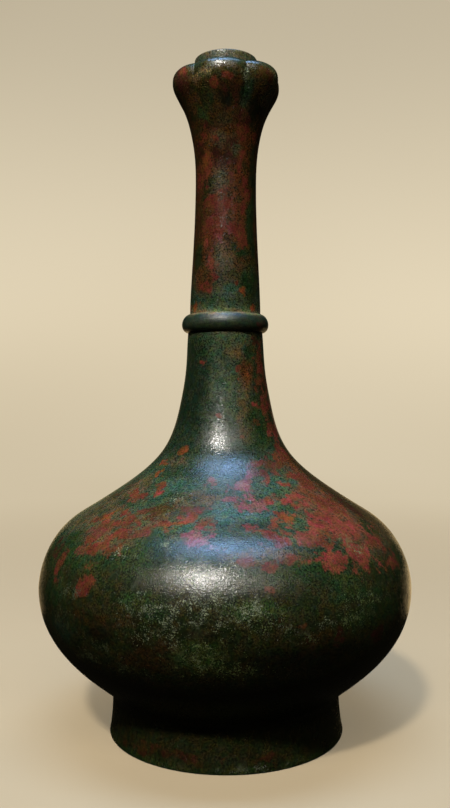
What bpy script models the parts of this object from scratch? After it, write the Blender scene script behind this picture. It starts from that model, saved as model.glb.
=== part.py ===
"""A cast bronze bottle vase: hollow foot ring, flattened globe, long neck with one ring, six-lobed head.

Metres, +Z up. The origin is under the centre of the foot, on the surface that the vase stands on.
Angles round the vase are counted from -Y towards +X.
"""

import math
from collections import namedtuple

import bmesh
import bpy
import numpy as np

# Foot ring
FOOT_RADIUS = 0.0696
FOOT_WAIST_RADIUS = 0.0675
FOOT_HEIGHT = 0.0234
FOOT_WALL = 0.0042
FOOT_EDGE_ROUND = 0.0010

# Globe, from the foot's waist to the root of the neck
BELLY_RADIUS = 0.1099
BELLY_HEIGHT = 0.0639
SHOULDER_HEIGHT = 0.1058

# Neck, from its root to its slimmest place
NECK_ROOT_RADIUS = 0.0274
LOWER_NECK_RADIUS = 0.0225
UPPER_NECK_RADIUS = 0.0213
SLIM_NECK_RADIUS = 0.0183
LOWER_NECK_HEIGHT = 0.0484
UPPER_NECK_HEIGHT = 0.0856

# Raised ring round the neck
RING_RADIUS = 0.0261
RING_HEIGHT = 0.0108

# Lobed head
HEAD_RADIUS = 0.0329
HEAD_HEIGHT = 0.0570
CROWN_HEIGHT = 0.0082
LOBE_COUNT = 6
LOBE_TURN = math.radians(-7.5)
FURROW_DEPTH = 0.0027
FURROW_LENGTH = 0.0315

# Collar and rim of the mouth
COLLAR_RADIUS = 0.0180
RIM_RADIUS = 0.0189
COLLAR_HEIGHT = 0.0077
RIM_ROUND = 0.0009

# Thickness of the casting
WALL = 0.0025
FLOOR_THICKNESS = 0.0030

# Leans of the outside from the vertical, outwards going up
BELLY_FOOT_LEAN = math.radians(17)
SHOULDER_LEAN = math.radians(-59)
NECK_ROOT_LEAN = math.radians(-12)
LOWER_NECK_LEAN = math.radians(-4.4)

# The shoulder's steepest place, as shares of the way from the neck's root to the belly
SHOULDER_SPREAD = 0.71
SHOULDER_RISE = 0.395

# How square the crown's curve and a lobe's cross-section are, and a furrow's fall at the collar,
# as a share of the crown
CROWN_SQUARENESS = 3.0
LOBE_SQUARENESS = 2.5
FURROW_FALL = 0.12

# Heights above the ground
BELLY_Z = FOOT_HEIGHT + BELLY_HEIGHT
NECK_ROOT_Z = BELLY_Z + SHOULDER_HEIGHT
RING_Z = NECK_ROOT_Z + LOWER_NECK_HEIGHT
SLIM_Z = RING_Z + UPPER_NECK_HEIGHT
HEAD_Z = SLIM_Z + HEAD_HEIGHT
CROWN_Z = HEAD_Z + CROWN_HEIGHT
RIM_Z = CROWN_Z + COLLAR_HEIGHT

# A place that the outside runs through
Station = namedtuple("Station", "radius height lean")

# A curve between two stations: how far it keeps each one's lean, as shares of its height, and its steps
Curve = namedtuple("Curve", "leaving meeting steps")
BELLY_CURVE = Curve(0.15, 0.61, 8)
SHOULDER_CURVE = Curve(0.19, 0.56, 7)
NECK_ROOT_CURVE = Curve(0.84, 0.46, 6)
LOWER_NECK_CURVE = Curve(0.53, 0.34, 3)
UPPER_NECK_CURVE = Curve(0.21, 0.41, 3)
HEAD_CURVE = Curve(0.755, 0.175, 8)

# Fineness of the mesh, and how far the inside may stray from an even wall to save rows
SEGMENTS_PER_LOBE = 10
FLARE_STEPS = 3
RING_STEPS = 6
CROWN_STEPS = 5
EDGE_STEPS = 2
INNER_STRAY = 0.0010


def curve_between(low, high, curve):
    """The points of a cubic curve from one station up to the next, without its first point."""
    rise = high.height - low.height
    start, end = np.array(low[:2]), np.array(high[:2])
    after_start = start + curve.leaving * rise * np.array([math.sin(low.lean), math.cos(low.lean)])
    before_end = end - curve.meeting * rise * np.array([math.sin(high.lean), math.cos(high.lean)])
    t = np.linspace(0, 1, curve.steps + 1)[1:, None]
    return (
        (1 - t) ** 3 * start
        + 3 * (1 - t) ** 2 * t * after_start
        + 3 * (1 - t) * t**2 * before_end
        + t**3 * end
    )


def quarter_round(corner, out, up):
    """The points of a rounded edge inside a corner, from its upright side to its level one."""
    turns = np.linspace(0, math.pi / 2, EDGE_STEPS + 1)
    return np.column_stack([corner[0] - out * (1 - np.cos(turns)), corner[1] - up * (1 - np.sin(turns))])


def foot_line():
    """The foot's outside: a rounded lower edge, then a flare that narrows to the waist."""
    edge = quarter_round((FOOT_RADIUS, 0), FOOT_EDGE_ROUND, -FOOT_EDGE_ROUND)[::-1]
    heights = np.linspace(FOOT_EDGE_ROUND, FOOT_HEIGHT, FLARE_STEPS + 1)[1:]
    spread = (1 - heights / FOOT_HEIGHT) ** 2
    radii = FOOT_WAIST_RADIUS + (FOOT_RADIUS - FOOT_WAIST_RADIUS) * spread
    return np.vstack([edge, np.column_stack([radii, heights])])


def globe_line():
    """The body's outside, from the foot's waist to just under the neck's ring."""
    stations = (
        Station(FOOT_WAIST_RADIUS, FOOT_HEIGHT, BELLY_FOOT_LEAN),
        Station(BELLY_RADIUS, BELLY_Z, 0),
        Station(
            NECK_ROOT_RADIUS + SHOULDER_SPREAD * (BELLY_RADIUS - NECK_ROOT_RADIUS),
            BELLY_Z + SHOULDER_RISE * SHOULDER_HEIGHT,
            SHOULDER_LEAN,
        ),
        Station(NECK_ROOT_RADIUS, NECK_ROOT_Z, NECK_ROOT_LEAN),
        Station(LOWER_NECK_RADIUS, RING_Z - RING_HEIGHT / 2, LOWER_NECK_LEAN),
    )
    curves = (BELLY_CURVE, SHOULDER_CURVE, NECK_ROOT_CURVE, LOWER_NECK_CURVE)
    return np.vstack([curve_between(*ends) for ends in zip(stations, stations[1:], curves)])


def ring_line():
    """The half-round outside of the neck's ring, between its lower and its upper edge."""
    turns = np.linspace(-math.pi / 2, math.pi / 2, RING_STEPS + 1)
    middle_radius = (LOWER_NECK_RADIUS + UPPER_NECK_RADIUS) / 2
    neck = middle_radius + (UPPER_NECK_RADIUS - LOWER_NECK_RADIUS) / 2 * np.sin(turns)
    bulge = (RING_RADIUS - middle_radius) * np.cos(turns)
    return np.column_stack([neck + bulge, RING_Z + RING_HEIGHT / 2 * np.sin(turns)])[1:]


def upper_line():
    """The outside above the ring: the neck, the swell of the head and its crown in to the collar."""
    over_ring = Station(UPPER_NECK_RADIUS, RING_Z + RING_HEIGHT / 2, 0)
    slim = Station(SLIM_NECK_RADIUS, SLIM_Z, 0)
    head = Station(HEAD_RADIUS, HEAD_Z, 0)
    turns = np.linspace(0, math.pi / 2, CROWN_STEPS + 1)[1:]
    out = np.cos(turns).clip(0) ** (2 / CROWN_SQUARENESS)
    up = np.sin(turns) ** (2 / CROWN_SQUARENESS)
    radii = COLLAR_RADIUS + (HEAD_RADIUS - COLLAR_RADIUS) * out
    return np.vstack(
        [
            curve_between(over_ring, slim, UPPER_NECK_CURVE),
            curve_between(slim, head, HEAD_CURVE),
            np.column_stack([radii, HEAD_Z + CROWN_HEIGHT * up]),
        ]
    )


def rim_line():
    """The mouth's rim: its rounded outer edge, the flat top and the rounded edge of the bore."""
    bore = COLLAR_RADIUS - WALL
    outer = quarter_round((RIM_RADIUS, RIM_Z), RIM_ROUND, RIM_ROUND)
    inner = quarter_round((bore, RIM_Z), -RIM_ROUND, RIM_ROUND)[::-1]
    return np.vstack([outer, inner])


def pressed(line, cleft):
    """The line where a furrow has this share of its depth. Furrows fade down the head and at the collar."""
    radii, heights = line.T
    down_head = np.clip(1 - (HEAD_Z - heights) / FURROW_LENGTH, 0, 1)
    up_crown = np.clip((heights - HEAD_Z) / CROWN_HEIGHT, 0, 1)
    depth = FURROW_DEPTH * down_head**2 * (3 - 2 * down_head) * np.sqrt(1 - up_crown**2)
    fall = FURROW_FALL * CROWN_HEIGHT * up_crown
    return np.column_stack([radii - depth * cleft, heights - fall * cleft])


def thinned(line):
    """The line with only the points that keep it as close as the inside has to be."""
    along = line[-1] - line[0]
    across = np.array([-along[1], along[0]]) / np.linalg.norm(along)
    strays = np.abs((line - line[0]) @ across)
    furthest = int(strays.argmax())
    if strays[furthest] < INNER_STRAY:
        return line[[0, -1]]
    return np.vstack([thinned(line[: furthest + 1])[:-1], thinned(line[furthest:])])


def inner_line():
    """The inside, one wall away from the outside, from the bore of the mouth down to the floor."""
    outside = pressed(np.vstack([globe_line(), upper_line()]), 1)
    along = np.gradient(outside, axis=0)
    along /= np.linalg.norm(along, axis=1)[:, None]
    line = outside + WALL * np.column_stack([-along[:, 1], along[:, 0]])
    bore = COLLAR_RADIUS - WALL
    floor_z = FOOT_HEIGHT + FLOOR_THICKNESS / 2
    line = thinned(line[(line[:, 1] > floor_z) & ((line[:, 1] < HEAD_Z) | (line[:, 0] > bore))])
    floor_edge = (line[0, 0] - WALL, floor_z)
    return np.vstack([floor_edge, line, (bore, line[-1, 1])])[::-1]


def underside_line():
    """The hollow of the foot, from under the middle of the floor out and down to the foot's lower edge."""
    ceiling = FOOT_HEIGHT - FLOOR_THICKNESS / 2
    return np.array([(FOOT_WAIST_RADIUS - FOOT_WALL, ceiling), (FOOT_RADIUS - FOOT_WALL, 0)])


def circles():
    """The vase's rings of points, from its underside up the outside and down the inside, and their angles."""
    count = LOBE_COUNT * SEGMENTS_PER_LOBE
    angles = LOBE_TURN + np.arange(count) * 2 * math.pi / count
    across_lobe = (np.arange(count) / SEGMENTS_PER_LOBE + 0.5) % 1 * 2 - 1
    clefts = np.abs(across_lobe) ** LOBE_SQUARENESS
    before = np.vstack([underside_line(), foot_line(), globe_line(), ring_line()])
    after = np.vstack([rim_line(), inner_line()])
    lines = [np.vstack([before, pressed(upper_line(), cleft), after]) for cleft in clefts]
    return np.stack(lines, axis=1), angles


def vase_mesh():
    """The closed mesh of the whole casting."""
    rings, angles = circles()
    mesh = bpy.data.meshes.new("bottle_vase")
    bm = bmesh.new()
    rows = [
        [
            bm.verts.new((radius * math.sin(angle), -radius * math.cos(angle), height))
            for (radius, height), angle in zip(ring, angles)
        ]
        for ring in rings
    ]
    for low, high in zip(rows, rows[1:]):
        for k in range(len(angles)):
            bm.faces.new((low[k - 1], low[k], high[k], high[k - 1]))
    under_centre = bm.verts.new((0, 0, rings[0, 0, 1]))
    floor_centre = bm.verts.new((0, 0, rings[-1, 0, 1]))
    for k in range(len(angles)):
        bm.faces.new((under_centre, rows[0][k], rows[0][k - 1]))
        bm.faces.new((floor_centre, rows[-1][k - 1], rows[-1][k]))
    bm.to_mesh(mesh)
    bm.free()
    mesh.shade_smooth()
    mesh.set_sharp_from_angle(angle=math.radians(35))
    return mesh


def bronze():
    """Old bronze under a dark green and brown patina."""
    material = bpy.data.materials.new("patinated_bronze")
    material.use_nodes = True
    shader = material.node_tree.nodes["Principled BSDF"]
    shader.inputs["Base Color"].default_value = (0.075, 0.082, 0.060, 1)
    shader.inputs["Metallic"].default_value = 0.5
    shader.inputs["Roughness"].default_value = 0.4
    return material


def main():
    for thing in list(bpy.data.objects):
        bpy.data.objects.remove(thing, do_unlink=True)
    vase = bpy.data.objects.new("bottle_vase", vase_mesh())
    vase.data.materials.append(bronze())
    bpy.context.scene.collection.objects.link(vase)


main()
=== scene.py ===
"""The looks of an old bronze bottle vase: a fine mesh of the casting under its many-coloured patina.

Metres, +Z up. Turns round the vase are counted from -Y, the side in the photograph, towards +X.
"""

import math
from collections import namedtuple

import bmesh
import bpy
import numpy as np
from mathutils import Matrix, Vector, noise


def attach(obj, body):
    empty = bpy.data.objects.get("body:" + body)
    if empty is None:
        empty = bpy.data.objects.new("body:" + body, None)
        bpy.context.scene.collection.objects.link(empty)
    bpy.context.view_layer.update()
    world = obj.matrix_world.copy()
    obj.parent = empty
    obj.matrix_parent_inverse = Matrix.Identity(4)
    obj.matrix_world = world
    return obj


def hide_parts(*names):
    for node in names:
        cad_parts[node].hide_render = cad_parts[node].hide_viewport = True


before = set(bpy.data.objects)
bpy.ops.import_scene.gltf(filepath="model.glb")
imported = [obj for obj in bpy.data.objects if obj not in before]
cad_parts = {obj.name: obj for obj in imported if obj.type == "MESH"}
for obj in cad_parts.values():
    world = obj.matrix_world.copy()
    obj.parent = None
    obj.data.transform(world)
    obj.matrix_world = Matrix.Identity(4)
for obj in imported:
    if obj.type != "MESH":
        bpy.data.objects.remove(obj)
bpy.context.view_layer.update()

NODE = "bottle_vase"
PIECE = "bronze_bottle_vase"
MM = 0.001

# Foot ring
FOOT_RADIUS = 0.0696
FOOT_WAIST_RADIUS = 0.0675
FOOT_HEIGHT = 0.0234
FOOT_WALL = 0.0042
FOOT_EDGE_ROUND = 0.0010

# Globe, from the foot's waist to the root of the neck
BELLY_RADIUS = 0.1099
BELLY_HEIGHT = 0.0639
SHOULDER_HEIGHT = 0.1058

# Neck, from its root to its slimmest place
NECK_ROOT_RADIUS = 0.0274
LOWER_NECK_RADIUS = 0.0225
UPPER_NECK_RADIUS = 0.0213
SLIM_NECK_RADIUS = 0.0183
LOWER_NECK_HEIGHT = 0.0484
UPPER_NECK_HEIGHT = 0.0856

# Raised ring round the neck
RING_RADIUS = 0.0261
RING_HEIGHT = 0.0108

# Lobed head
HEAD_RADIUS = 0.0329
HEAD_HEIGHT = 0.0570
CROWN_HEIGHT = 0.0082
LOBE_COUNT = 6
LOBE_TURN = math.radians(-7.5)
FURROW_DEPTH = 0.0027
FURROW_LENGTH = 0.0315

# Collar and rim of the mouth
COLLAR_RADIUS = 0.0180
RIM_RADIUS = 0.0189
COLLAR_HEIGHT = 0.0077
RIM_ROUND = 0.0009

# Thickness of the casting
WALL = 0.0025
FLOOR_THICKNESS = 0.0030

# Leans of the outside from the vertical, outwards going up
BELLY_FOOT_LEAN = math.radians(17)
SHOULDER_LEAN = math.radians(-59)
NECK_ROOT_LEAN = math.radians(-12)
LOWER_NECK_LEAN = math.radians(-4.4)

# The shoulder's steepest place, as shares of the way from the neck's root to the belly
SHOULDER_SPREAD = 0.71
SHOULDER_RISE = 0.395

# How square the crown and a lobe's cross-section are, and a furrow's fall at the collar
CROWN_SQUARENESS = 3.0
LOBE_SQUARENESS = 2.5
FURROW_FALL = 0.12

# Heights above the ground
BELLY_Z = FOOT_HEIGHT + BELLY_HEIGHT
NECK_ROOT_Z = BELLY_Z + SHOULDER_HEIGHT
RING_Z = NECK_ROOT_Z + LOWER_NECK_HEIGHT
SLIM_Z = RING_Z + UPPER_NECK_HEIGHT
HEAD_Z = SLIM_Z + HEAD_HEIGHT
CROWN_Z = HEAD_Z + CROWN_HEIGHT
RIM_Z = CROWN_Z + COLLAR_HEIGHT

# Fineness of the mesh
SEGMENTS_PER_LOBE = 60
FLARE_STEPS = 12
RING_STEPS = 18
CROWN_STEPS = 16
EDGE_STEPS = 4
INNER_STRAY = 0.0004
SHARP_ANGLE = math.radians(50)

# Waves in the cast skin
WAVE_LENGTH = 0.045
WAVE_DEPTH = 0.00012

# Shallow dips at the front of the shoulder: the height of the middle, the reach and the depth
DIPS = ((0.130, 0.020, 0.0016), (0.155, 0.018, 0.0009))

# The full lobe at the right, with its place and its spread in degrees
FULL_LOBE = 0.0009
FULL_LOBE_TURN = 52.5
FULL_LOBE_SPREAD = 22.0
FULL_LOBE_REACH = 1.6 * CROWN_HEIGHT

# How far the axis sways to the right, by height
SWAY = (
    (0.0, 0.0008), (0.03, 0.0004), (0.07, 0.0), (0.12, 0.0), (0.20, 0.0004),
    (0.241, 0.0001), (0.30, 0.0004), (0.37, 0.0008), (0.39, 0.0007), (0.40, 0.0005),
)

# How far noise moves the edges of the patches, in millimetres, and the size of its waves
RAGGED_REACH = 3.5
RAGGED_LENGTH = 0.012

# The smallest radius, in millimetres, by which a sideways move is turned into degrees
LEAST_RADIUS = 10

# How one noise is moved away from the next
SEED_STEP = (7.3, 3.1, 5.7)

# The far side's patches: how much closer they lie, and how far they stray in degrees and millimetres
BACK_CLOSENESS = 0.9
STRAY_TURN = 9
STRAY_RISE = 4
STRAY_PHASES = (1.7, 2.3)

# How deep inside a patch it begins to show, and shows in full
STAIN_EDGE = (-0.35, 0.45)
RUST_EDGE = (-0.34, 0.46)
ISLAND_EDGE = (-0.3, 0.6)
CLEFT_EDGE = (-0.2, 0.5)

# The limits that depths are held to, how sharply patches part, and how much islands take away
DEPTH_LIMITS = (-1.5, 0.5)
PARTING = 6
ISLAND_CUT = 1.2

# Colours of the skin
# A near black: soot in pits and stains, and painted shade under the belly
SOOT_AND_SHADE = (0.008, 0.008, 0.004)
OLIVE = (0.019, 0.022, 0.008)
MOSS = (0.016, 0.029, 0.010)
DEEP_GREEN = (0.011, 0.020, 0.011)
FERN = (0.026, 0.042, 0.013)
SLATE = (0.018, 0.031, 0.017)
GREY_GREEN = (0.030, 0.050, 0.028)
SEA_GREEN = (0.031, 0.059, 0.043)
TEAL = (0.038, 0.074, 0.066)
TAN = (0.055, 0.046, 0.024)
DRAB = (0.042, 0.046, 0.026)
DUSTY = (0.085, 0.038, 0.020)
# Worn gold metal with a painted glint
GOLD_GLINT = (0.320, 0.220, 0.060)
BROWN = (0.028, 0.019, 0.007)
UMBER = (0.052, 0.023, 0.008)
OXBLOOD = (0.042, 0.014, 0.008)
CLAY = (0.104, 0.034, 0.021)
RUST = (0.122, 0.029, 0.015)
BRICK = (0.174, 0.035, 0.024)
SALMON = (0.165, 0.044, 0.028)
ORANGE = (0.170, 0.046, 0.014)
PINK = (0.175, 0.054, 0.056)
PALE_GREEN = (0.140, 0.185, 0.055)
SAGE = (0.080, 0.100, 0.040)
CREAM = (0.220, 0.250, 0.130)

# Relief of the skin in millimetres
FINE_GRAIN = 0.15
COARSE_GRAIN = 0.10
PIT_DEPTH = 0.12
CRUST_DEPTH = 0.05

# Roughness of the skin from worn to dull, and how much a crust and a cleft between lobes add to it
GLOSS = (0.18, 0.29)
CRUST_DULLNESS = 0.2
CLEFT_DULLNESS = -0.07
PATINA_IOR = 1.5

# Tints that the colours are multiplied by
WARM_TINT = (1.32, 0.94, 0.76)
COOL_TINT = (0.74, 1.06, 0.95)
GOLDEN_TINT = (1.02, 1.05, 0.70)
VIOLET_TINT = (1.02, 0.95, 1.18)
CRIMSON_TINT = (1.12, 0.80, 1.05)
EARTHY_TINT = (0.84, 1.28, 0.70)

# How dark and how light the colours get, in patches and in the grain
PATCHY = (0.75, 1.25)
GRAINY = (0.15, 2.20)
RUST_GRAINY = (0.50, 1.50)
BLOOM_GRAINY = (0.30, 1.40)

# Noises of the skin and of the stage: the size of their features, their detail and their coarseness
Noise = namedtuple("Noise", "size detail coarse")
SHADE_NOISE = Noise(0.009, 3.0, 0.6)
GRAIN_NOISE = Noise(0.0009, 2.0, 0.7)
WARMTH_NOISE = Noise(0.0045, 3.0, 0.65)
HUE_NOISE = Noise(0.003, 3.0, 0.65)
PIT_NOISE = Noise(0.0022, 3.0, 0.6)
FRAY_NOISE = Noise(0.0065, 6.0, 0.64)
RUST_NOISE = Noise(0.0035, 3.0, 0.65)
CLUSTER_NOISE = Noise(0.005, 3.0, 0.7)
SPECK_NOISE = Noise(0.0007, 2.0, 0.6)
TOOTH_NOISE = Noise(0.0007, 1.0, 0.5)
LUMP_NOISE = Noise(0.004, 3.0, 0.5)
WEAR_NOISE = Noise(0.010, 4.0, 0.6)
GLINT_NOISE = Noise(0.0010, 1.0, 0.5)
PLASTER_NOISE = Noise(2.5, 1.0, 0.5)

# Where in its range each noise goes over from one thing to the other
SHADE_BAND = (0.25, 0.75)
GRAIN_BAND = (0.28, 0.72)
TINT_BAND = (0.35, 0.65)
PIT_BAND = (0.28, 0.34)
HAZE_BAND = (0.45, 0.90)
SPECK_BAND = (0.99, 1.06)
WEAR_BAND = (0.3, 0.7)
GLINT_BAND = (0.38, 0.62)
PLASTER_BAND = (0.3, 0.7)

# How full the pits are of soot, and how well the rust and the haze cover what lies under them
PIT_SOOT = 0.7
RUST_COVER = 0.96
HAZE_COVER = 0.08

# How far noise frays the rust, how much a bloom draws the clusters in, and they the specks
FRAY_REACH = 2.8
BLOOM_PULL = 0.22
CLUSTER_PULL = 0.7

# The ground under all patches, by the way up the outside in millimetres
# From 18 mm up it darkens to near black, which holds from 30 to 65 mm up: painted shade under the belly.
# The foot's hollow and the inside are near black too.
GROUND = (
    (-30, SOOT_AND_SHADE), (0, FERN), (4, OLIVE), (18, OLIVE), (30, SOOT_AND_SHADE), (65, SOOT_AND_SHADE), (85, OLIVE),
    (118, OLIVE), (130, MOSS), (140, SLATE), (150, GREY_GREEN), (200, GREY_GREEN), (215, SLATE),
    (240, SLATE), (280, GREY_GREEN), (284, GREY_GREEN), (285.5, TAN), (288, DEEP_GREEN),
    (296, DEEP_GREEN), (298.5, TAN), (301, TAN), (303, GREY_GREEN), (312, GREY_GREEN), (333, UMBER),
    (405, UMBER), (415, BROWN), (436, BROWN), (445, OLIVE), (452, OLIVE), (460, DRAB), (470, DRAB),
    (500, SOOT_AND_SHADE),
)

# How light the whole skin is, by the way up the outside in millimetres
# On the ring's upper crease, 298.5 to 301 mm up, the lightness is doubled: a pale band with a painted
# highlight on it
TONE = (
    (0, 0.40), (25, 0.45), (60, 0.44), (90, 0.44), (105, 0.52), (125, 0.77), (145, 0.95),
    (190, 0.93), (205, 0.84), (220, 0.74), (280, 0.80), (286, 1.0), (288, 1.0), (296.5, 1.0),
    (298.5, 2.0), (301, 2.0), (305, 0.60), (360, 0.58), (400, 0.52), (415, 0.62), (432, 0.85),
    (445, 1.3), (450, 0.9), (461, 0.9), (464, 1.2),
)

# Places in the photograph: turns in degrees, and rises in millimetres by the way up the outside
Spot = namedtuple("Spot", "turn rise half_turn half_rise")
Patch = namedtuple("Patch", "turn rise half_turn half_rise colour")

# Soft stains in the ground, with painted shade and a painted highlight on the head
STAINS = [
    # shoulder
    Patch(-62, 166, 16, 26, TAN), Patch(66, 204, 12, 14, UMBER), Patch(56, 168, 20, 36, DUSTY),
    Patch(78, 165, 16, 42, BROWN), Patch(2, 166, 10, 8, TEAL), Patch(-12, 155, 9, 6, SEA_GREEN),
    Patch(-28, 191, 12, 9, SEA_GREEN), Patch(18, 186, 10, 6, SEA_GREEN),
    Patch(29, 189, 9, 5, SEA_GREEN), Patch(15, 165, 8, 6, TEAL), Patch(4, 201, 14, 6, SLATE),
    Patch(-18, 201, 12, 6, SLATE), Patch(10, 156, 14, 4, SLATE), Patch(14, 158, 5, 1.6, DEEP_GREEN),
    Patch(26, 160, 6, 1.6, DEEP_GREEN), Patch(0, 141, 16, 6, SLATE), Patch(-25, 168, 9, 14, TAN),
    Patch(-29, 142, 8, 10, MOSS), Patch(-12, 180, 8, 8, TAN), Patch(-40, 208, 12, 4, TAN),
    Patch(-60, 186, 10, 10, TAN), Patch(-42, 150, 14, 14, TAN), Patch(12, 136, 14, 5, TAN),
    Patch(61, 146, 5, 8, OLIVE), Patch(33, 193, 8, 4, SEA_GREEN), Patch(46, 192, 6, 4, SEA_GREEN),
    Patch(-40, 198, 12, 5, SLATE), Patch(-30, 178, 6, 5, SLATE), Patch(-52, 170, 8, 4, SLATE),
    Patch(-58, 135, 6, 8, MOSS), Patch(-34, 174, 6, 5, GREY_GREEN),
    # belly
    Patch(36, 117, 20, 8, MOSS), Patch(20, 113, 10, 9, OLIVE), Patch(44, 120, 8, 5, OLIVE),
    Patch(58, 118, 10, 12, OLIVE), Patch(-56, 110, 7, 8, MOSS), Patch(-20, 108, 6, 6, MOSS),
    Patch(-33, 122, 9, 5, OLIVE), Patch(-24, 114, 5, 4, FERN), Patch(-40, 102, 4, 3, BROWN),
    Patch(-35, 95, 5, 4, SOOT_AND_SHADE), Patch(-20, 91, 4, 3, SOOT_AND_SHADE), Patch(-25, 104, 4, 4, BROWN),
    Patch(-33, 101, 4, 3, BROWN), Patch(8, 111, 8, 5, FERN), Patch(-7, 98, 5, 2, SOOT_AND_SHADE),
    Patch(25, 94, 4, 3, BROWN), Patch(45, 102, 14, 6, MOSS), Patch(22, 84, 18, 8, SOOT_AND_SHADE),
    Patch(-22, 84, 8, 5, BROWN), Patch(-15, 92, 5, 3, BROWN), Patch(-7, 88, 7, 9, FERN),
    Patch(-52, 90, 8, 6, SLATE),
    # neck under the ring
    Patch(-48, 255, 26, 34, DEEP_GREEN), Patch(56, 252, 20, 30, OLIVE), Patch(24, 243, 12, 20, TAN),
    Patch(40, 232, 14, 16, MOSS), Patch(30, 262, 12, 9, UMBER), Patch(12, 273, 12, 6, TAN),
    Patch(38, 272, 10, 6, MOSS), Patch(-14, 262, 8, 14, GREY_GREEN),
    Patch(5, 250, 10, 22, GREY_GREEN),
    # neck over the ring
    Patch(-42, 320, 20, 9, UMBER), Patch(45, 318, 20, 12, MOSS), Patch(6, 314, 10, 6, SEA_GREEN),
    Patch(-35, 372, 14, 8, OLIVE), Patch(-12, 378, 18, 7, TAN), Patch(54, 352, 13, 22, MOSS),
    Patch(-55, 336, 16, 9, OLIVE), Patch(28, 337, 16, 5, MOSS), Patch(-2, 334, 18, 8, TAN),
    Patch(62, 385, 12, 14, OLIVE), Patch(-12, 403, 16, 5, TAN), Patch(12, 398, 12, 6, TAN),
    # head, with painted shade in the right furrow and a painted highlight on the left lobe's shoulder
    Patch(-34, 417, 10, 5, MOSS), Patch(-25, 427, 9, 6, OLIVE), Patch(-4, 424, 8, 7, SOOT_AND_SHADE),
    Patch(23, 426, 7, 14, DEEP_GREEN), Patch(42, 420, 12, 10, SOOT_AND_SHADE), Patch(54, 432, 14, 9, TAN),
    Patch(-30, 438, 14, 3, TAN), Patch(0, 449, 60, 4, DEEP_GREEN), Patch(50, 441, 12, 3, TAN),
]

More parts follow.
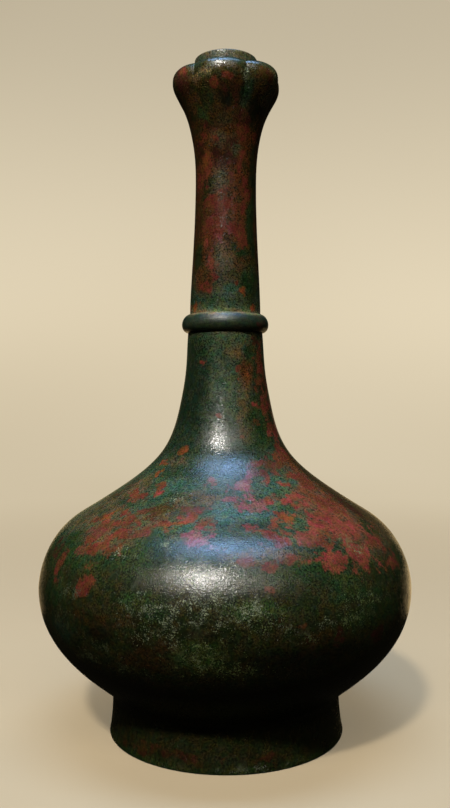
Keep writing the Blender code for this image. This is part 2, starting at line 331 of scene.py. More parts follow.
# Red, brown and orange patches
RUSTS = [
    # right shoulder
    Patch(42, 158, 12, 14, BRICK), Patch(26, 148, 8, 6, SALMON), Patch(55, 170, 11, 12, RUST),
    Patch(50, 151, 9, 10, BRICK), Patch(58, 190, 9, 8, RUST), Patch(34, 132, 7, 6, BRICK),
    Patch(35, 143, 6, 5, RUST), Patch(45, 134, 8, 8, BRICK), Patch(57, 136, 4, 6, RUST),
    Patch(31, 171, 7, 5, BRICK), Patch(23, 164, 5, 3, BRICK), Patch(37, 179, 6, 4, BRICK),
    Patch(29, 205, 8, 5, CLAY), Patch(38, 207, 7, 4, CLAY), Patch(48, 208, 8, 4, RUST),
    Patch(58, 212, 9, 5, RUST), Patch(25, 198, 4, 3, CLAY), Patch(37, 199, 4, 3, CLAY),
    Patch(48, 196, 5, 3, RUST), Patch(27, 190, 3, 3, BRICK), Patch(38, 188, 4, 2.5, BRICK),
    Patch(26, 180, 4, 3, CLAY), Patch(60, 125, 5, 4, RUST), Patch(68, 165, 5, 12, OXBLOOD),
    Patch(20, 176, 3, 3, BRICK),
    # front
    Patch(10, 187, 7, 6, PINK), Patch(14, 190, 4, 6, PINK), Patch(15, 197, 3, 3, PINK),
    Patch(13, 175, 5, 5, PINK), Patch(3, 178, 3.5, 3, PINK), Patch(-10, 193, 5, 2.5, BRICK),
    Patch(-15, 163, 4, 3, BRICK), Patch(-9, 160, 3, 2.5, RUST), Patch(-9, 147, 5.5, 5, PINK),
    Patch(-7, 156, 3, 2.2, RUST), Patch(3, 154, 2, 2, RUST), Patch(10, 152, 3, 3.4, BRICK),
    Patch(16, 146, 5, 3.5, RUST), Patch(19, 157, 2.6, 2.6, ORANGE), Patch(26, 161, 5, 3, ORANGE),
    Patch(19, 133, 3, 3.2, RUST), Patch(12, 131, 2.2, 2.2, RUST), Patch(5, 133, 3, 2.2, RUST),
    Patch(-12, 169, 6, 3, DUSTY), Patch(-30, 168, 6, 6, UMBER),
    # left shoulder
    Patch(-44, 164, 7, 3.5, RUST), Patch(-52, 158, 3, 3, ORANGE), Patch(-44, 154, 8, 5, RUST),
    Patch(-37, 158, 4, 3, RUST), Patch(-48, 147, 5, 4, CLAY), Patch(-39, 146, 6, 4, RUST),
    Patch(-45, 139, 7, 5, RUST), Patch(-36, 136, 3, 3, RUST), Patch(-50, 134, 3, 3, CLAY),
    Patch(-58, 152, 4, 3, RUST), Patch(-31, 151, 4, 2.6, CLAY), Patch(-25, 156, 4, 2.4, RUST),
    Patch(-19, 155, 3, 3, ORANGE), Patch(-41, 122, 2.6, 5, RUST), Patch(-43, 114, 2, 4, RUST),
    Patch(-57, 122, 2.6, 6, RUST), Patch(-66, 130, 4, 6, OXBLOOD), Patch(-57, 205, 7, 2.5, ORANGE),
    Patch(-55, 196, 6, 2.5, ORANGE), Patch(-42, 188, 5, 3, RUST), Patch(-38, 182, 4, 2.5, BRICK),
    Patch(-50, 178, 8, 4, RUST), Patch(-62, 176, 6, 2.5, RUST), Patch(-35, 167, 3, 2.5, CLAY),
    # belly
    Patch(32, 94, 1.6, 4, OXBLOOD), Patch(16, 103, 1.5, 2, RUST), Patch(13, 105, 1.2, 2, OXBLOOD),
    Patch(20, 101, 1.2, 1.5, RUST), Patch(22, 93, 1.2, 4, OXBLOOD), Patch(12, 120, 1.2, 1.5, RUST),
    Patch(47, 90, 2, 3, OXBLOOD),
    # neck under the ring
    Patch(-43, 216, 5, 3, ORANGE), Patch(56, 224, 8, 2.6, BRICK), Patch(38, 244, 6, 2, BRICK),
    Patch(60, 262, 15, 12, RUST), Patch(64, 245, 14, 9, RUST), Patch(52, 270, 9, 5, RUST),
    Patch(68, 230, 10, 6, RUST), Patch(17, 257, 3, 1.6, BRICK), Patch(33, 260, 4, 2, ORANGE),
    Patch(31, 279, 5, 3, ORANGE), Patch(48, 279, 7, 4, OXBLOOD), Patch(-34, 267, 5, 1.6, RUST),
    Patch(-9, 238, 3, 2, BRICK), Patch(17, 226, 3, 2.2, RUST), Patch(17, 263, 4, 2, RUST),
    Patch(38, 234, 6, 2.4, RUST),
    # ring, and the neck over it
    Patch(57, 293, 8, 3.5, OXBLOOD), Patch(-56, 304, 15, 2.2, ORANGE),
    Patch(53, 305, 9, 2.2, ORANGE), Patch(27, 312, 5, 2.2, ORANGE), Patch(18, 317, 3, 2, RUST),
    Patch(-35, 316, 10, 3, RUST), Patch(-20, 323, 6, 3, RUST), Patch(-27, 328, 9, 4, BRICK),
    Patch(-24, 333, 6, 3.5, BRICK), Patch(-35, 342, 5, 3, BRICK), Patch(-10, 340, 9, 3, PINK),
    Patch(5, 347, 4, 2.4, PINK), Patch(-26, 353, 26, 8, RUST), Patch(28, 348, 11, 7, RUST),
    Patch(-50, 360, 18, 14, UMBER), Patch(-30, 366, 18, 6, RUST), Patch(-14, 361, 14, 7, RUST),
    Patch(3, 366, 10, 8, RUST), Patch(12, 368, 7, 4, BRICK), Patch(12, 355, 12, 8, RUST),
    Patch(32, 365, 9, 9, RUST), Patch(38, 374, 9, 5, RUST), Patch(-54, 380, 14, 9, RUST),
    Patch(-42, 391, 12, 4, ORANGE), Patch(-30, 388, 9, 4, RUST), Patch(-38, 377, 4, 5, BRICK),
    Patch(22, 392, 8, 8, RUST), Patch(8, 386, 6, 5, CLAY), Patch(5, 393, 16, 8, OXBLOOD),
    Patch(40, 381, 9, 3, RUST), Patch(-12, 393, 14, 6, OXBLOOD), Patch(30, 405, 8, 5, RUST),
    Patch(20, 408, 7, 3, RUST), Patch(-38, 404, 9, 4, RUST), Patch(-20, 403, 8, 3, RUST),
    Patch(60, 405, 7, 3, RUST), Patch(-20, 411, 12, 3, OXBLOOD), Patch(22, 413, 14, 4, OXBLOOD),
    Patch(-50, 398, 14, 4, OXBLOOD),
    # head
    Patch(2, 437, 5, 2.4, RUST), Patch(-12, 433, 4, 2.6, RUST), Patch(10, 431, 6, 6, OXBLOOD),
    Patch(-2, 429, 5, 6, OXBLOOD), Patch(13, 425, 4, 5, OXBLOOD), Patch(2, 418, 5, 2.6, UMBER),
    Patch(-55, 436, 11, 9, OXBLOOD), Patch(-50, 443, 7, 2.6, RUST), Patch(44, 440, 9, 3, UMBER),
    # foot
    Patch(-14, 6, 8, 2.5, UMBER), Patch(18, 5, 7, 2.5, UMBER), Patch(-38, 6, 12, 3, UMBER),
]

# Gaps in the red patches
ISLANDS = [
    Spot(30, 169, 5, 3), Spot(54, 132, 4, 4), Spot(60, 155, 5, 5), Spot(60, 180, 5, 5),
    Spot(33, 185, 6, 3), Spot(46, 189, 5, 3), Spot(44, 171, 3, 3), Spot(31, 157, 3, 2.5),
    Spot(39, 164, 2.5, 2), Spot(52, 160, 3, 3), Spot(42, 200, 4, 2.5), Spot(27, 176, 4, 2.5),
    Spot(22, 155, 3, 2),
]

# Pale specks, and gold specks on the head that are worn metal with a painted glint
BLOOMS = [
    Patch(-15, 107, 10, 10, CREAM), Patch(-5, 114, 10, 7, CREAM), Patch(3, 110, 8, 7, CREAM),
    Patch(-21, 96, 5, 4, CREAM), Patch(-13, 97, 6, 5, CREAM), Patch(-7, 88, 9, 11, PALE_GREEN),
    Patch(-7, 84, 5, 5, CREAM), Patch(-48, 112, 5, 5, SAGE), Patch(-35, 88, 6, 5, SAGE),
    Patch(-27, 75, 8, 4, SAGE), Patch(-42, 79, 5, 4, SAGE), Patch(4, 79, 8, 5, PALE_GREEN),
    Patch(9, 104, 4, 5, PALE_GREEN), Patch(16, 100, 6, 4, SAGE), Patch(28, 100, 4, 4, CREAM),
    Patch(22, 95, 4, 3, PALE_GREEN), Patch(36, 101, 8, 5, PALE_GREEN), Patch(-52, 97, 6, 6, SAGE),
    Patch(40, 109, 8, 5, PALE_GREEN), Patch(-24, 178, 5, 3, CREAM), Patch(-32, 136, 4, 3, CREAM),
    Patch(42, 143, 5, 4, PALE_GREEN), Patch(45, 135, 5, 4, PALE_GREEN),
    Patch(-17, 142, 2, 4, CREAM), Patch(-30, 436, 14, 5, GOLD_GLINT), Patch(20, 438, 6, 3, CREAM),
    Patch(8, 1, 16, 1.6, SAGE),
]

# A glossier furrow between two lobes
CLEFTS = [Spot(22, 436, 8, 24)]

# How much rougher the skin is, by the way up the outside in millimetres
DULLNESS = (
    (0, 0.0), (200, 0.0), (208, -0.02), (228, -0.02), (240, -0.03), (284, -0.03), (288, 0.20),
    (298, 0.20), (303, -0.05), (425, -0.05), (440, -0.03), (444, -0.05), (445, 0.08), (461, 0.10),
    (464, 0.0),
)

# How much its roughness sparkles, by the way up the outside in millimetres
SPARKLE = (
    (0, 0.0), (203, 0.01), (211, 0.08), (225, 0.08), (245, 0.03), (420, 0.03), (438, 0.09),
    (447, 0.09), (452, 0.03),
)

# Floor, wall and gleams of the stage
FLOOR_REACH = 1.8
FLOOR_HOLE = 0.001
COVE_RADIUS = 1
COVE_STEPS = 12
WALL_TOP = (FLOOR_REACH + COVE_RADIUS, 5)
DOME_TOP = (0.01, 6)
STAGE_STEPS = 96
CREAM_WALL = (0.66, 0.56, 0.39)
PALE_WALL = (0.74, 0.64, 0.46)
FLOOR_PAINT = (0.36, 0.28, 0.17)
NO_PAINT = (0.0, 0.0, 0.0)

# Two distances from the vase and the stage's glow at each
FADE_REACH = (0.2, 1.3)
FLOOR_GLOW = (0.25, 1.0)

# Changes of the glow with height: two heights, and the share of the glow that is left at each
WALL_FADE = (1.9, 0.4, 0.72, 1.05)
WALL_RISE = (-0.1, 0.6, 0.88, 1.0)

# Glowing strips that only reflections see: turns in degrees, heights and strength
Gleam = namedtuple("Gleam", "turns heights strength")
GLEAM_COLOUR = (0.80, 0.57, 0.27)
GLEAMS = (
    Gleam((153, 203), (-0.42, 0.12), 1.3),
    Gleam((153, 203), (0.12, 0.30), 0.35),
    Gleam((143, 153), (-0.42, -0.10), 1.6),
    Gleam((203, 213), (-0.42, -0.10), 0.7),
)

# Lamps, as seen from the body: turn and lift in degrees, distance, width and height, and watts
Lamp = namedtuple("Lamp", "name turn lift distance size power colour")
LAMPS = (
    Lamp("key", -16, 45.2, 2.2, (0.20, 0.17), 40, (1.0, 0.96, 0.90)),
    Lamp("wide", -8, 45.2, 2.2, (3.1, 0.22), 23, (1.0, 0.94, 0.86)),
    Lamp("sky", 0, 82, 1.5, (1.2, 0.42), 21, (0.36, 0.58, 1.0)),
)

# Lamps behind the vase that its gloss doesn't mirror
BACK_LAMPS = (
    Lamp("back", -150, 30, 2.5, (1.2, 1.2), 14, (1.0, 0.93, 0.82)),
    Lamp("back", 150, 30, 2.5, (1.2, 1.2), 14, (1.0, 0.93, 0.82)),
)

# The height that the lamps are aimed at, and the faint light from all round
LAMP_AIM = 0.12
ROOM_COLOUR = (0.008, 0.007, 0.004, 1)

# The photograph's camera
PHOTO_HEIGHT = 808
FOCAL_PIXELS = 825
SENSOR_WIDTH = 36
EYE_DISTANCE = 0.498
EYE_HEIGHT = 0.1933
NEAR_CLIP = 0.01

# A place on the outside: its radius, its height and its lean from the vertical
Station = namedtuple("Station", "radius height lean")

# How strongly a curve of the outside leaves its lower and meets its upper station, and its steps
Curve = namedtuple("Curve", "leaving meeting steps")
BELLY_CURVE = Curve(0.15, 0.61, 40)
SHOULDER_CURVE = Curve(0.19, 0.56, 28)
NECK_ROOT_CURVE = Curve(0.84, 0.46, 32)
LOWER_NECK_CURVE = Curve(0.53, 0.34, 12)
UPPER_NECK_CURVE = Curve(0.21, 0.41, 22)
HEAD_CURVE = Curve(0.755, 0.175, 26)


def curve_between(low, high, curve):
    """The points of a cubic curve from one station up to the next, without its first point."""
    rise = high.height - low.height
    start, end = np.array(low[:2]), np.array(high[:2])
    after_start = start + curve.leaving * rise * np.array([math.sin(low.lean), math.cos(low.lean)])
    before_end = end - curve.meeting * rise * np.array([math.sin(high.lean), math.cos(high.lean)])
    t = np.linspace(0, 1, curve.steps + 1)[1:, None]
    return (
        (1 - t) ** 3 * start
        + 3 * (1 - t) ** 2 * t * after_start
        + 3 * (1 - t) * t**2 * before_end
        + t**3 * end
    )


def quarter_round(corner, out, up):
    """The points of a rounded edge inside a corner, from its upright side to its level one."""
    turns = np.linspace(0, math.pi / 2, EDGE_STEPS + 1)
    return np.column_stack([corner[0] - out * (1 - np.cos(turns)), corner[1] - up * (1 - np.sin(turns))])


def foot_line():
    """The foot's outside: a rounded lower edge, then a flare that narrows to the waist."""
    edge = quarter_round((FOOT_RADIUS, 0), FOOT_EDGE_ROUND, -FOOT_EDGE_ROUND)[::-1]
    heights = np.linspace(FOOT_EDGE_ROUND, FOOT_HEIGHT, FLARE_STEPS + 1)[1:]
    spread = (1 - heights / FOOT_HEIGHT) ** 2
    radii = FOOT_WAIST_RADIUS + (FOOT_RADIUS - FOOT_WAIST_RADIUS) * spread
    return np.vstack([edge, np.column_stack([radii, heights])])


def globe_line():
    """The body's outside, from the foot's waist to just under the neck's ring."""
    stations = (
        Station(FOOT_WAIST_RADIUS, FOOT_HEIGHT, BELLY_FOOT_LEAN),
        Station(BELLY_RADIUS, BELLY_Z, 0),
        Station(
            NECK_ROOT_RADIUS + SHOULDER_SPREAD * (BELLY_RADIUS - NECK_ROOT_RADIUS),
            BELLY_Z + SHOULDER_RISE * SHOULDER_HEIGHT,
            SHOULDER_LEAN,
        ),
        Station(NECK_ROOT_RADIUS, NECK_ROOT_Z, NECK_ROOT_LEAN),
        Station(LOWER_NECK_RADIUS, RING_Z - RING_HEIGHT / 2, LOWER_NECK_LEAN),
    )
    curves = (BELLY_CURVE, SHOULDER_CURVE, NECK_ROOT_CURVE, LOWER_NECK_CURVE)
    return np.vstack([curve_between(*ends) for ends in zip(stations, stations[1:], curves)])


def ring_line():
    """The half-round outside of the neck's ring, between its lower and its upper edge."""
    turns = np.linspace(-math.pi / 2, math.pi / 2, RING_STEPS + 1)
    middle_radius = (LOWER_NECK_RADIUS + UPPER_NECK_RADIUS) / 2
    neck = middle_radius + (UPPER_NECK_RADIUS - LOWER_NECK_RADIUS) / 2 * np.sin(turns)
    bulge = (RING_RADIUS - middle_radius) * np.cos(turns)
    return np.column_stack([neck + bulge, RING_Z + RING_HEIGHT / 2 * np.sin(turns)])[1:]


def upper_line():
    """The outside above the ring: the neck, the swell of the head and its crown in to the collar."""
    over_ring = Station(UPPER_NECK_RADIUS, RING_Z + RING_HEIGHT / 2, 0)
    slim = Station(SLIM_NECK_RADIUS, SLIM_Z, 0)
    head = Station(HEAD_RADIUS, HEAD_Z, 0)
    turns = np.linspace(0, math.pi / 2, CROWN_STEPS + 1)[1:]
    out = np.cos(turns).clip(0) ** (2 / CROWN_SQUARENESS)
    up = np.sin(turns) ** (2 / CROWN_SQUARENESS)
    radii = COLLAR_RADIUS + (HEAD_RADIUS - COLLAR_RADIUS) * out
    return np.vstack(
        [
            curve_between(over_ring, slim, UPPER_NECK_CURVE),
            curve_between(slim, head, HEAD_CURVE),
            np.column_stack([radii, HEAD_Z + CROWN_HEIGHT * up]),
        ]
    )


def rim_line():
    """The mouth's rim: its rounded outer edge, the flat top and the rounded edge of the bore."""
    bore = COLLAR_RADIUS - WALL
    outer = quarter_round((RIM_RADIUS, RIM_Z), RIM_ROUND, RIM_ROUND)
    inner = quarter_round((bore, RIM_Z), -RIM_ROUND, RIM_ROUND)[::-1]
    return np.vstack([outer, inner])


def pressed(line, cleft):
    """The line where a furrow has this share of its depth. Furrows fade down the head and at the collar."""
    radii, heights = line.T
    down_head = np.clip(1 - (HEAD_Z - heights) / FURROW_LENGTH, 0, 1)
    up_crown = np.clip((heights - HEAD_Z) / CROWN_HEIGHT, 0, 1)
    depth = FURROW_DEPTH * down_head**2 * (3 - 2 * down_head) * np.sqrt(1 - up_crown**2)
    fall = FURROW_FALL * CROWN_HEIGHT * up_crown
    return np.column_stack([radii - depth * cleft, heights - fall * cleft])


def thinned(line):
    """The line with only the points that keep it as close as the inside has to be."""
    along = line[-1] - line[0]
    across = np.array([-along[1], along[0]]) / np.linalg.norm(along)
    strays = np.abs((line - line[0]) @ across)
    furthest = int(strays.argmax())
    if strays[furthest] < INNER_STRAY:
        return line[[0, -1]]
    return np.vstack([thinned(line[: furthest + 1])[:-1], thinned(line[furthest:])])


def inner_line():
    """The inside, one wall away from the outside, from the bore of the mouth down to the floor."""
    outside = pressed(np.vstack([globe_line(), upper_line()]), 1)
    along = np.gradient(outside, axis=0)
    along /= np.linalg.norm(along, axis=1)[:, None]
    line = outside + WALL * np.column_stack([-along[:, 1], along[:, 0]])
    bore = COLLAR_RADIUS - WALL
    floor_z = FOOT_HEIGHT + FLOOR_THICKNESS / 2
    line = thinned(line[(line[:, 1] > floor_z) & ((line[:, 1] < HEAD_Z) | (line[:, 0] > bore))])
    floor_edge = (line[0, 0] - WALL, floor_z)
    return np.vstack([floor_edge, line, (bore, line[-1, 1])])[::-1]


def underside_line():
    """The hollow of the foot, from the edge of its ceiling out and down to the foot's lower edge."""
    ceiling = FOOT_HEIGHT - FLOOR_THICKNESS / 2
    return np.array([(FOOT_WAIST_RADIUS - FOOT_WALL, ceiling), (FOOT_RADIUS - FOOT_WALL, 0)])


def circles():
    """The rings of points, from the underside up the outside and down the inside, and their angles."""
    count = LOBE_COUNT * SEGMENTS_PER_LOBE
    angles = LOBE_TURN + np.arange(count) * 2 * math.pi / count
    across_lobe = (np.arange(count) / SEGMENTS_PER_LOBE + 0.5) % 1 * 2 - 1
    clefts = np.abs(across_lobe) ** LOBE_SQUARENESS
    before = np.vstack([underside_line(), foot_line(), globe_line(), ring_line()])
    after = np.vstack([rim_line(), inner_line()])
    lines = [np.vstack([before, pressed(upper_line(), cleft), after]) for cleft in clefts]
    return np.stack(lines, axis=1), angles


def way_up(line):
    """How far each point of the line lies up the outside from the foot's edge, in millimetres."""
    steps = np.linalg.norm(np.diff(line, axis=0), axis=1)
    rises = np.concatenate([[0], np.cumsum(steps)])
    edge_top = len(underside_line()) + EDGE_STEPS
    return (rises - rises[edge_top]) / MM


def clouds(points, size, seed):
    """Smooth noise between about -1 and 1 at each point, with features of this size."""
    offset = Vector(seed * step for step in SEED_STEP)
    values = [noise.noise(Vector(point) / size + offset) for point in points.reshape(-1, 3)]
    return np.array(values).reshape(points.shape[:-1])


def looked_up(table, places):
    """The value that a table of places and values gives at each place, in between as well."""
    return np.interp(places, *zip(*table))


def hump(values, middle, reach):
    """A smooth hump, 1 high at its middle."""
    return np.exp(-(((values - middle) / reach) ** 2))


def in_space(radii, heights, angles):
    """The points at these radii and heights, turned to these angles."""
    return np.stack([radii * np.sin(angles), -radii * np.cos(angles), heights], axis=-1)


def cast(rings, angles):
    """The points of the casting in space, a little out of true as the real one is."""
    radii, heights = rings[..., 0], rings[..., 1]
    points = in_space(radii, heights, angles)
    uneven = (clouds(points, WAVE_LENGTH, 1) + clouds(points, WAVE_LENGTH / 3, 2)) / 2
    inwards = WAVE_DEPTH * (1 + uneven)
    on_head = np.clip(1 - np.abs(heights - HEAD_Z) / FULL_LOBE_REACH, 0, 1)
    swell = FULL_LOBE * hump(np.degrees(angles), FULL_LOBE_TURN, FULL_LOBE_SPREAD) * on_head
    radii = radii - inwards * (radii > COLLAR_RADIUS) + swell
    heights = heights + swell * (heights < CROWN_Z)
    in_front = np.cos(angles).clip(0) ** 2
    for middle, reach, depth in DIPS:
        radii = radii - depth * in_front * hump(heights, middle, reach)
    points = in_space(radii, heights, angles)
    points[..., 0] += looked_up(SWAY, heights)
    return points


def closeness(patches, turns, rises):
    """How deep each point lies in each patch: 1 in its middle, 0 on its edge and below 0 outside."""
    found = []
    for patch in patches:
        across = (turns - patch.turn + 180) % 360 - 180
        found.append(1 - np.hypot(across / patch.half_turn, (rises - patch.rise) / patch.half_rise))
    return np.array(found)


def all_round(patches):
    """The patches, and after them the same ones turned to the far side and moved about."""
    return patches + [
        patch._replace(
            turn=180 - BACK_CLOSENESS * patch.turn + STRAY_TURN * math.sin(STRAY_PHASES[0] * place),
            rise=patch.rise + STRAY_RISE * math.sin(STRAY_PHASES[1] * place + 1),
        )
        for place, patch in enumerate(patches)
    ]


def soft_step(values, low, high):
    """A smooth step from 0 to 1 as the values go from low to high."""
    share = np.clip((values - low) / (high - low), 0, 1)
    return share * share * (3 - 2 * share)


def stained(patches, turns, rises):
    """The ground's colour by the way up, with the soft stains laid over it one by one."""
    ways_up, bands = zip(*GROUND)
    colour = np.stack([np.interp(rises, ways_up, channel) for channel in zip(*bands)], axis=-1)
    for patch, depth in zip(patches, closeness(patches, turns, rises)):
        share = soft_step(depth, *STAIN_EDGE)[..., None]
        colour = colour + share * (np.array(patch.colour) - colour)
    return colour


def nearest(patches, turns, rises):
    """How deep each point lies in the patches, within limits, and the colour of the deepest ones."""
    depths = closeness(patches, turns, rises)
    deepest = depths.max(axis=0)
    weights = np.exp(PARTING * (depths - deepest))
    colours = np.array([patch.colour for patch in patches])
    return deepest.clip(*DEPTH_LIMITS), np.tensordot(weights / weights.sum(axis=0), colours, (0, 0))


def share_inside(spots, turns, rises, edge):
    """How much each point counts as inside the spots, from 0 to 1."""
    return soft_step(closeness(spots, turns, rises).max(axis=0), *edge)


def patina_fields(points, angles, rises):
    """What each point of the mesh says about its patina, by name."""
    tone = looked_up(TONE, rises)[:, None, None]
    radii = np.hypot(points[..., 0], points[..., 1]) / MM
    drift = [clouds(points, RAGGED_LENGTH, seed) for seed in (3, 4)]
    turns = np.degrees(angles) + np.degrees(RAGGED_REACH * drift[0] / radii.clip(LEAST_RADIUS))
    rises = rises[:, None] + RAGGED_REACH * drift[1]
    rust_depth, rust_colour = nearest(all_round(RUSTS), turns, rises)
    rust_depth -= ISLAND_CUT * share_inside(all_round(ISLANDS), turns, rises, ISLAND_EDGE)
    bloom_depth, bloom_colour = nearest(all_round(BLOOMS), turns, rises)
    cleft = share_inside(CLEFTS, turns, rises, CLEFT_EDGE)
    return {
        "dullness": looked_up(DULLNESS, rises) + CLEFT_DULLNESS * cleft,
        "sparkle": looked_up(SPARKLE, rises),
        "ground_colour": tone * stained(all_round(STAINS), turns, rises),
        "rust_depth": rust_depth,
        "rust_colour": tone * rust_colour,
        "bloom_depth": bloom_depth,
        "bloom_colour": tone * bloom_colour,
    }


def add_field(mesh, name, values):
    """A number or a colour kept on each point of the mesh, with the rings' means in the two middles."""
    flat = np.concatenate([values.reshape(-1, *values.shape[2:]), values[[0, -1]].mean(axis=1)])
    if flat.ndim == 1:
        mesh.attributes.new(name, "FLOAT", "POINT").data.foreach_set("value", flat)
    else:
        flat = np.column_stack([flat, np.ones(len(flat))])
        mesh.attributes.new(name, "FLOAT_COLOR", "POINT").data.foreach_set("color", flat.ravel())


def skin(rows):
    """One closed mesh over the rows of points, with a middle point in its first and last row."""
    bm = bmesh.new()
    rows = [[bm.verts.new(point) for point in row] for row in rows]
    for low, high in zip(rows, rows[1:]):
        for k in range(len(low)):
            bm.faces.new((low[k - 1], low[k], high[k], high[k - 1]))
    for row, order in ((rows[0], 1), (rows[-1], -1)):
        middle = bm.verts.new((0, 0, row[0].co.z))
        for k in range(len(row)):
            bm.faces.new((middle, *(row[k], row[k - 1])[::order]))
    mesh = bpy.data.meshes.new(PIECE)
    bm.to_mesh(mesh)
    bm.free()
    mesh.shade_smooth()
    mesh.set_sharp_from_angle(angle=SHARP_ANGLE)
    return mesh


def vase():
    """The whole casting as one piece, with its patina fields."""
    rings, angles = circles()
    points = cast(rings, angles)
    mesh = skin(points)
    for name, values in patina_fields(points, angles, way_up(rings[:, 0])).items():
        add_field(mesh, name, values)
    piece = bpy.data.objects.new(PIECE, mesh)
    bpy.context.scene.collection.objects.link(piece)
    return piece


class Recipe:
    """Short ways to add shader nodes to one new material."""

    def __init__(self, name):
        self.material = bpy.data.materials.new(name)
        self.material.use_nodes = True
        self.tree = self.material.node_tree
        self.tree.nodes.clear()

    def add(self, kind, inputs, **settings):
        """A node of this kind. An input that is a socket is linked, and any other is set."""
        made = self.tree.nodes.new("ShaderNode" + kind)
        for name, value in settings.items():
            setattr(made, name, value)
        for name, value in inputs.items():
            if isinstance(value, bpy.types.NodeSocket):
                self.tree.links.new(value, made.inputs[name])
            else:
                made.inputs[name].default_value = value
        return made

    def place(self):
        """The point on the surface, in metres."""
        return self.add("TexCoord", {}).outputs["Object"]

    def clouds(self, kind):
        """Noise of this kind, from 0 to 1."""
        inputs = {
            "Vector": self.place(),
            "Scale": 1 / kind.size,
            "Detail": kind.detail,
            "Roughness": kind.coarse,
        }
        return self.add("TexNoise", inputs).outputs["Fac"]

    def field(self, name):
        """One of the mesh's numbers."""
        return self.add("Attribute", {}, attribute_name=name).outputs["Fac"]

    def colour_field(self, name):
        """One of the mesh's colours."""
        return self.add("Attribute", {}, attribute_name=name).outputs["Color"]

    def math(self, operation, first, second, third=0.0):
        """The result of a sum of two or three values."""
        return self.add("Math", {0: first, 1: second, 2: third}, operation=operation).outputs[0]

    def step(self, value, low, high, bottom=0.0, top=1.0):
        """A smooth step from bottom to top as the value goes from low to high."""
        inputs = {"Value": value, "From Min": low, "From Max": high, "To Min": bottom, "To Max": top}
        return self.add("MapRange", inputs, interpolation_type="SMOOTHSTEP").outputs["Result"]

    def mix(self, share, first, second, blend="MIX"):
        """The first colour, with this share of the second."""
        inputs = {0: share, 6: (*first, 1) if isinstance(first, tuple) else first}
        inputs[7] = (*second, 1) if isinstance(second, tuple) else second
        return self.add("Mix", inputs, data_type="RGBA", blend_type=blend).outputs[2]

    def grey(self, value):
        """A grey of this brightness."""
        return self.add("CombineColor", {"Red": value, "Green": value, "Blue": value}).outputs["Color"]


def tinted(recipe, colour):
    """The colour, made warmer here and cooler there, and more golden and more violet."""
    tints = ((WARMTH_NOISE, COOL_TINT, WARM_TINT), (HUE_NOISE, GOLDEN_TINT, VIOLET_TINT))
    for kind, low, high in tints:
        share = recipe.step(recipe.clouds(kind), *TINT_BAND)
        colour = recipe.mix(1.0, colour, recipe.mix(share, low, high), "MULTIPLY")
    return colour


def grained(recipe, colour, patchy, grain, reach):
    """The colour, made lighter and darker in patches and, between these two shares, in a fine grain."""
    shade = recipe.math("MULTIPLY", patchy, recipe.step(grain, *GRAIN_BAND, *reach))
    return recipe.mix(1.0, colour, recipe.grey(shade), "MULTIPLY")


def rust(recipe, under, patchy, grain):
    """Brick red, pink and orange cuprite that lies over the ground in frayed and flecked patches."""
    fray = recipe.math("MULTIPLY_ADD", recipe.clouds(FRAY_NOISE), 2 * FRAY_REACH, -FRAY_REACH)
    depth = recipe.math("ADD", recipe.field("rust_depth"), fray)
    cover = recipe.math("MULTIPLY", recipe.step(depth, *RUST_EDGE), RUST_COVER)
    share = recipe.step(recipe.clouds(RUST_NOISE), *TINT_BAND)
    tint = recipe.mix(share, CRIMSON_TINT, EARTHY_TINT)
    colour = recipe.mix(1.0, recipe.colour_field("rust_colour"), tint, "MULTIPLY")
    return recipe.mix(cover, under, grained(recipe, colour, patchy, grain, RUST_GRAINY))


def bloom(recipe, under, patchy, grain):
    """Pale specks over a thin haze, thick where the mesh says so, and how well they cover."""
    clusters = recipe.clouds(CLUSTER_NOISE)
    clusters = recipe.math("MULTIPLY_ADD", recipe.field("bloom_depth"), BLOOM_PULL, clusters)
    haze = recipe.step(clusters, *HAZE_BAND, 0.0, HAZE_COVER)
    specks = recipe.math("MULTIPLY_ADD", clusters, CLUSTER_PULL, recipe.clouds(SPECK_NOISE))
    cover = recipe.step(specks, *SPECK_BAND)
    colour = grained(recipe, recipe.colour_field("bloom_colour"), patchy, grain, BLOOM_GRAINY)
    return recipe.mix(recipe.math("MAXIMUM", haze, cover), under, colour), cover


def relief(recipe, pits, crust):
    """The bumps of the skin: fine and coarse grain, sunken pits and raised crust."""
    height = recipe.math("MULTIPLY", recipe.clouds(TOOTH_NOISE), FINE_GRAIN)
    height = recipe.math("MULTIPLY_ADD", recipe.clouds(LUMP_NOISE), COARSE_GRAIN, height)
    height = recipe.math("MULTIPLY_ADD", pits, -PIT_DEPTH, height)
    height = recipe.math("MULTIPLY_ADD", crust, CRUST_DEPTH, height)
    return recipe.add("Bump", {"Height": height, "Distance": MM, "Strength": 1.0}).outputs["Normal"]


def roughness(recipe, crust):
    """Half-glossy where worn and duller elsewhere, with the mesh's own dullness and sparkle."""
    rough = recipe.step(recipe.clouds(WEAR_NOISE), *WEAR_BAND, *GLOSS)
    rough = recipe.math("MULTIPLY_ADD", crust, CRUST_DULLNESS, rough)
    rough = recipe.math("ADD", rough, recipe.field("dullness"))
    glint = recipe.step(recipe.clouds(GLINT_NOISE), *GLINT_BAND, -1.0, 1.0)
    return recipe.math("MULTIPLY_ADD", glint, recipe.field("sparkle"), rough)


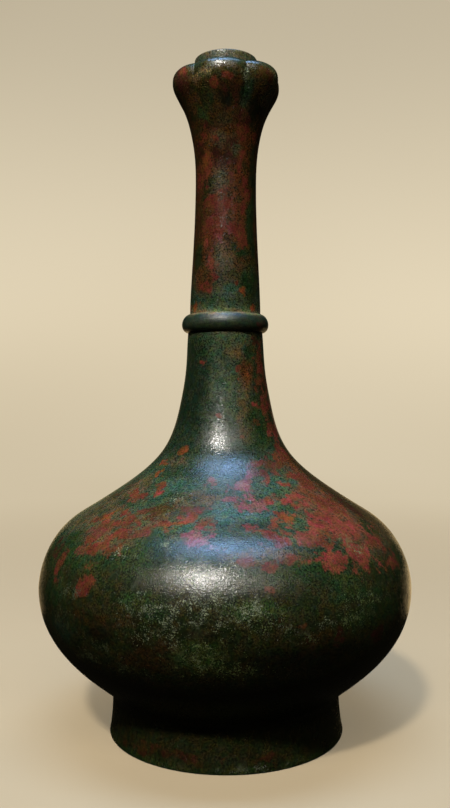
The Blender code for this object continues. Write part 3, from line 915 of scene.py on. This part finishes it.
def bronze():
    """Old cast bronze under its patina."""
    recipe = Recipe("patinated_bronze_skin")
    patchy = recipe.step(recipe.clouds(SHADE_NOISE), *SHADE_BAND, *PATCHY)
    grain = recipe.clouds(GRAIN_NOISE)
    pits = recipe.step(recipe.clouds(PIT_NOISE), *PIT_BAND, 1.0, 0.0)
    colour = tinted(recipe, recipe.colour_field("ground_colour"))
    colour = grained(recipe, colour, patchy, grain, GRAINY)
    colour = recipe.mix(recipe.math("MULTIPLY", pits, PIT_SOOT), colour, SOOT_AND_SHADE)
    colour, crust = bloom(recipe, rust(recipe, colour, patchy, grain), patchy, grain)
    inputs = {
        "Base Color": colour,
        "Roughness": roughness(recipe, crust),
        "Normal": relief(recipe, pits, crust),
        "IOR": PATINA_IOR,
    }
    shader = recipe.add("BsdfPrincipled", inputs)
    recipe.add("OutputMaterial", {"Surface": shader.outputs["BSDF"]})
    return recipe.material


def revolved(name, line, ends):
    """A stage surface turned round the axis from (radius, height) points, between two turns."""
    bm = bmesh.new()
    turns = np.radians(np.linspace(*ends, STAGE_STEPS + 1))
    rows = [
        [bm.verts.new((radius * math.sin(turn), -radius * math.cos(turn), height)) for turn in turns]
        for radius, height in line
    ]
    for low, high in zip(rows, rows[1:]):
        for k in range(1, len(turns)):
            bm.faces.new((low[k - 1], low[k], high[k], high[k - 1]))
    mesh = bpy.data.meshes.new(name)
    bm.to_mesh(mesh)
    bm.free()
    mesh.shade_smooth()
    thing = bpy.data.objects.new(name, mesh)
    bpy.context.scene.collection.objects.link(thing)
    return thing


def plaster():
    """A plain cream surface that glows more the further it lies from the vase, with paint near it."""
    recipe = Recipe("pale_plaster")
    shade = recipe.step(recipe.clouds(PLASTER_NOISE), *PLASTER_BAND)
    away = recipe.add("VectorMath", {0: recipe.place()}, operation="LENGTH").outputs["Value"]
    height = recipe.add("SeparateXYZ", {0: recipe.place()}).outputs["Z"]
    strength = recipe.step(away, *FADE_REACH, *FLOOR_GLOW)
    for change in (WALL_FADE, WALL_RISE):
        strength = recipe.math("MULTIPLY", strength, recipe.step(height, *change))
    light = {"Color": recipe.mix(shade, CREAM_WALL, PALE_WALL), "Strength": strength}
    paint = {"Color": recipe.mix(recipe.step(away, *FADE_REACH), FLOOR_PAINT, NO_PAINT)}
    shine = recipe.add("Emission", light).outputs[0]
    cover = recipe.add("BsdfDiffuse", paint).outputs[0]
    both = recipe.add("AddShader", {0: shine, 1: cover})
    recipe.add("OutputMaterial", {"Surface": both.outputs[0]})
    return recipe.material


def glow(strength):
    """A plain warm glow."""
    recipe = Recipe("pale_glow")
    shine = recipe.add("Emission", {"Color": (*GLEAM_COLOUR, 1), "Strength": strength})
    recipe.add("OutputMaterial", {"Surface": shine.outputs[0]})
    return recipe.material


def stage():
    """A pale floor that turns up into a pale wall, and the gleams that edge the vase's sides."""
    bends = np.linspace(0, math.pi / 2, COVE_STEPS + 1)
    cove = [
        (FLOOR_REACH + COVE_RADIUS * math.sin(bend), COVE_RADIUS * (1 - math.cos(bend)))
        for bend in bends
    ]
    studio = revolved("studio", [(FLOOR_HOLE, 0), *cove, WALL_TOP, DOME_TOP], (0, 360))
    studio.data.materials.append(plaster())
    studio.visible_glossy = False
    things = [studio]
    for turns, heights, strength in GLEAMS:
        gleam = revolved("gleam", [(FLOOR_REACH, height) for height in heights], turns)
        gleam.data.materials.append(glow(strength))
        gleam.visible_camera = False
        things.append(gleam)
    for thing in things:
        thing.visible_diffuse = False


def lamp(kind):
    """A soft oval light aimed at the body."""
    light = bpy.data.lights.new(kind.name, "AREA")
    light.shape = "ELLIPSE"
    light.size, light.size_y = kind.size
    light.energy = kind.power
    light.color = kind.colour
    turn, lift = math.radians(kind.turn), math.radians(kind.lift)
    towards = Vector((math.sin(turn) * math.cos(lift), -math.cos(turn) * math.cos(lift), math.sin(lift)))
    thing = bpy.data.objects.new(kind.name, light)
    thing.location = Vector((0, 0, LAMP_AIM)) + kind.distance * towards
    thing.rotation_euler = towards.to_track_quat("Z", "Y").to_euler()
    bpy.context.scene.collection.objects.link(thing)
    return thing


def lights():
    """A key and a wide light in front, a bluish one overhead and weak ones behind, in a dim room."""
    for kind in LAMPS:
        lamp(kind)
    for kind in BACK_LAMPS:
        lamp(kind).visible_glossy = False
    world = bpy.data.worlds.new("dim_room")
    world.use_nodes = True
    world.node_tree.nodes["Background"].inputs["Color"].default_value = ROOM_COLOUR
    bpy.context.scene.world = world


def camera():
    """The photograph's own view: level, half a metre from the axis."""
    lens = bpy.data.cameras.new("camera")
    lens.sensor_width = SENSOR_WIDTH
    lens.lens = SENSOR_WIDTH * FOCAL_PIXELS / PHOTO_HEIGHT
    lens.clip_start = NEAR_CLIP
    eye = bpy.data.objects.new("camera", lens)
    eye.location = (0, -EYE_DISTANCE, EYE_HEIGHT)
    eye.rotation_euler = (math.pi / 2, 0, 0)
    bpy.context.scene.collection.objects.link(eye)
    bpy.context.scene.camera = eye


def main():
    """Set up the view, the light, the stage and the vase."""
    camera()
    lights()
    stage()
    piece = vase()
    piece.data.materials.append(bronze())
    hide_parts(NODE)
    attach(piece, "root")
    bpy.context.scene.view_settings.view_transform = "Standard"


main()
